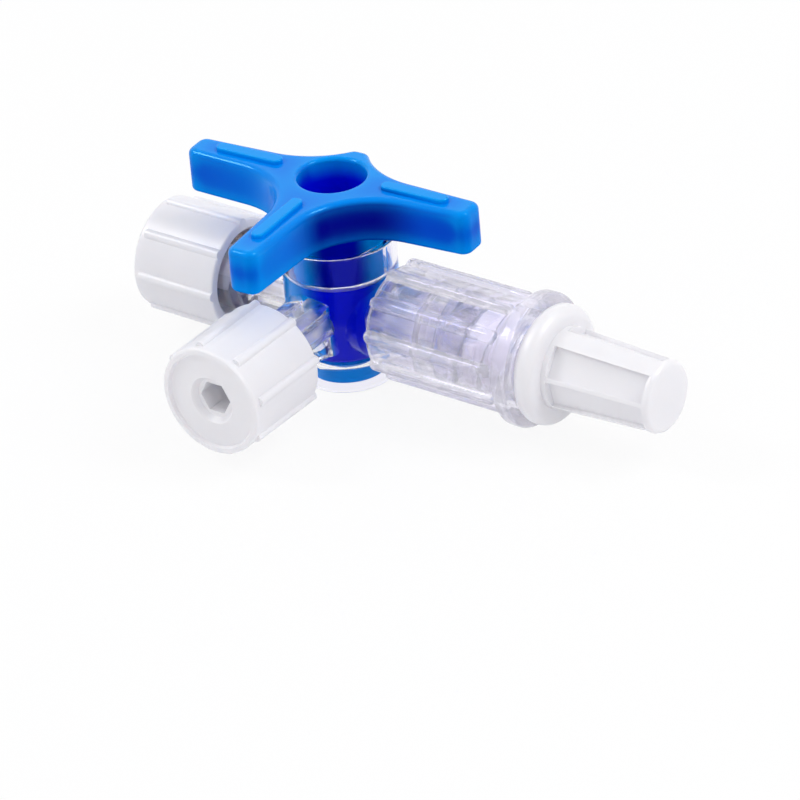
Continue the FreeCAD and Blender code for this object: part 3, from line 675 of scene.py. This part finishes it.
class STOPCOCK_OT_lock_collar(bpy.types.Operator):
    """Make the clear lock collar with its grip ribs and its inner lock thread"""
    bl_idname = "stopcock.lock_collar"
    bl_label = "Lock collar"

    def execute(self, context):
        collar = context.scene.stopcock_collar
        start, end = COLLAR_LOW.x + 0.018 * MM, COLLAR_HIGH.x
        mouth = 0.3 * MM
        outline = rounded([
            (start, collar.rear_radius, 0.1 * MM),
            (start, collar.body_radius, 0.2 * MM),
            (collar.lip_start, collar.body_radius, 1.0 * MM),
            (collar.lip_start + collar.lip_length, collar.lip_radius, 0.35 * MM),
            (end, collar.lip_radius, 0.35 * MM),
            (end, collar.thread_root + mouth, 0.05 * MM),
            (end - mouth, collar.thread_root, 0.0),
            (collar.web_end, collar.thread_root, 0.3 * MM),
            (collar.web_end, collar.web_hole, 0.1 * MM),
            (collar.web_start, collar.web_hole, 0.1 * MM),
            (collar.web_start, collar.rear_radius, 0.3 * MM),
        ], longest=0.22 * MM)
        piece = turned_ring("clear_lock_collar", outline, rib_turns(collar))
        material = clear_polycarbonate("hazy_polycarbonate", context.scene.stopcock_clear, collar)
        grown(piece, collar_tree(), {
            "Axis Height": PORT_HEIGHT,
            "Rib Count": collar.rib_count,
            "First Rib": collar.rib_first,
            "Rib Half Width": collar.rib_half_width,
            "Rib Radius": collar.rib_radius,
            "Rib Start": collar.rib_start,
            "Rib End": collar.rib_end,
            "Outer Side From": collar.body_radius - 0.25 * MM,
            "Thread Root": collar.thread_root,
            "Thread Depth": collar.thread_root - collar.thread_crest,
            "Thread Lead": collar.thread_lead,
            "Thread Spacing": collar.thread_lead / collar.thread_starts,
            "Thread Width": collar.thread_width,
            "Thread Start": collar.web_end,
            "Thread End": end - mouth,
            "Material": material,
        })
        paint(piece, material)
        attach(piece, "collar")
        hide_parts("lock_collar")
        return {"FINISHED"}


class STOPCOCK_OT_caps(bpy.types.Operator):
    """Finish the three white caps"""
    bl_idname = "stopcock.caps"
    bl_label = "White caps"

    def execute(self, context):
        material = white_polyethylene(context.scene.stopcock_caps)
        for node in ("front_port_cap", "rear_port_cap", "male_port_cap"):
            paint(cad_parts[node], material)
        return {"FINISHED"}


def background_ray(tree):
    """1 for the rays that show the background: seen straight, mirrored, or through clear plastic."""
    ray = add_node(tree, "ShaderNodeLightPath").outputs
    shown = calculated(tree, "MAXIMUM", ray["Is Camera Ray"], ray["Is Glossy Ray"])
    return calculated(tree, "MAXIMUM", shown, ray["Is Transmission Ray"])


def studio_world(stage):
    """A white studio: an even fill for matt surfaces, and a white background that turns lavender towards
    the camera's side, where clear plastic and gloss show it."""
    world = bpy.data.worlds.new("soft_studio")
    world.use_nodes = True
    tree = world.node_tree
    tree.nodes.clear()
    heading = add_node(tree, "ShaderNodeTexCoord").outputs["Generated"]
    toward = along(tree, heading, camera_side(stage))
    tint = blended(tree, mapped(tree, toward, -0.3, 0.9), WHITE, linear(stage.horizon_colour))
    seen = add_node(tree, "ShaderNodeLightPath").outputs["Is Camera Ray"]
    tint = blended(tree, seen, tint, WHITE)
    fill = add_node(tree, "ShaderNodeBackground", {"Color": WHITE, "Strength": stage.fill})
    white = add_node(tree, "ShaderNodeBackground", {"Color": tint, "Strength": 1.0})
    mixed = add_node(tree, "ShaderNodeMixShader", {0: background_ray(tree), 1: fill.outputs[0],
                                                   2: white.outputs[0]})
    add_node(tree, "ShaderNodeOutputWorld", {"Surface": mixed.outputs[0]})
    bpy.context.scene.world = world


def floor_material(stage):
    """Matt white board. The rays that show the background get mostly plain white, and the rest is its own
    shading, which keeps the object's shadow."""
    material, tree = new_material("white_board")[:2]
    matt = add_node(tree, "ShaderNodeBsdfDiffuse", {"Color": linear(stage.floor_colour)})
    white = add_node(tree, "ShaderNodeEmission", {"Color": WHITE, "Strength": 1.0})
    share = calculated(tree, "MULTIPLY", background_ray(tree), stage.white_share)
    mixed = add_node(tree, "ShaderNodeMixShader", {0: share, 1: matt.outputs[0], 2: white.outputs[0]})
    add_node(tree, "ShaderNodeOutputMaterial", {"Surface": mixed.outputs[0]})
    return material


def area_light(name, place, aim, size, power):
    """A rectangular soft light at a place, turned to shine at the aim."""
    data = bpy.data.lights.new(name, "AREA")
    data.shape = "RECTANGLE"
    data.size, data.size_y = size
    data.energy = power
    light = bpy.data.objects.new(name, data)
    light.location = place
    light.rotation_mode = "QUATERNION"
    light.rotation_quaternion = (Vector(aim) - Vector(place)).to_track_quat("-Z", "Y")
    bpy.context.scene.collection.objects.link(light)
    return light


class STOPCOCK_OT_stage(bpy.types.Operator):
    """Make the floor, the studio light and the camera"""
    bl_idname = "stopcock.stage"
    bl_label = "Stage"

    def execute(self, context):
        stage = context.scene.stopcock_stage
        studio_world(stage)
        mesh = bpy.data.meshes.new("floor")
        work = bmesh.new()
        bmesh.ops.create_circle(work, cap_ends=True, segments=64, radius=stage.floor_radius)
        work.to_mesh(mesh)
        work.free()
        floor = bpy.data.objects.new("floor", mesh)
        context.scene.collection.objects.link(floor)
        paint(floor, floor_material(stage))

        aim = Vector((5 * MM, 0.0, PORT_HEIGHT))
        right_side, left_side = aim + Vector(stage.key_place), aim + Vector(stage.side_place)
        area_light("key_light", right_side, aim, stage.key_size, stage.key_power)
        area_light("side_light", left_side, aim, stage.side_size, stage.side_power)
        # Two lamps at the same places that only gloss mirrors. They draw the glints along rounded edges.
        for name, spot in (("right_glint", right_side), ("left_glint", left_side)):
            glint = area_light(name, spot, aim, stage.glint_size, stage.glint_power)
            glint.visible_diffuse = False

        across = Vector((math.cos(stage.azimuth), math.sin(stage.azimuth), 0.0))
        back = Vector((math.sin(stage.azimuth) * math.cos(stage.elevation),
                       -math.cos(stage.azimuth) * math.cos(stage.elevation), math.sin(stage.elevation)))
        rise = back.cross(across)
        right = math.cos(stage.roll) * across + math.sin(stage.roll) * rise
        up = math.cos(stage.roll) * rise - math.sin(stage.roll) * across
        data = bpy.data.cameras.new("camera")
        data.lens = stage.lens
        data.sensor_width = 36.0
        data.clip_start = 0.01
        data.clip_end = 10.0
        camera = bpy.data.objects.new("camera", data)
        context.scene.collection.objects.link(camera)
        place = Vector((0, 0, PORT_HEIGHT)) + back * stage.distance
        place += right * stage.aim_right + up * stage.aim_up
        camera.matrix_world = Matrix.Translation(place) @ Matrix((right, up, back)).transposed().to_4x4()
        context.scene.camera = camera
        context.scene.view_settings.view_transform = "Standard"
        return {"FINISHED"}


class STOPCOCK_PT_parts(bpy.types.Panel):
    """The stopcock's pieces in the sidebar"""
    bl_label = "Three-way stopcock"
    bl_idname = "STOPCOCK_PT_parts"
    bl_space_type = "VIEW_3D"
    bl_region_type = "UI"
    bl_category = "Stopcock"

    def draw(self, context):
        layout = self.layout
        for operator, group in STEPS:
            layout.operator(operator.bl_idname)
            settings = getattr(context.scene, group)
            for name in settings.bl_rna.properties.keys():
                if name not in ("rna_type", "name"):
                    layout.prop(settings, name)


GROUPS = {
    "stopcock_clear": StopcockClear,
    "stopcock_collar": StopcockCollar,
    "stopcock_handle": StopcockHandle,
    "stopcock_caps": StopcockCaps,
    "stopcock_stage": StopcockStage,
}

STEPS = (
    (STOPCOCK_OT_clear_body, "stopcock_clear"),
    (STOPCOCK_OT_handle, "stopcock_handle"),
    (STOPCOCK_OT_lock_collar, "stopcock_collar"),
    (STOPCOCK_OT_caps, "stopcock_caps"),
    (STOPCOCK_OT_stage, "stopcock_stage"),
)


def register():
    for name, group in GROUPS.items():
        bpy.utils.register_class(group)
        setattr(bpy.types.Scene, name, PointerProperty(type=group))
    for operator, _ in STEPS:
        bpy.utils.register_class(operator)
    bpy.utils.register_class(STOPCOCK_PT_parts)


def unregister():
    bpy.utils.unregister_class(STOPCOCK_PT_parts)
    for operator, _ in reversed(STEPS):
        bpy.utils.unregister_class(operator)
    for name, group in GROUPS.items():
        delattr(bpy.types.Scene, name)
        bpy.utils.unregister_class(group)


def main():
    register()
    for operator, _ in STEPS:
        family, name = operator.bl_idname.split(".")
        getattr(getattr(bpy.ops, family), name)()


if __name__ == "__main__":
    main()
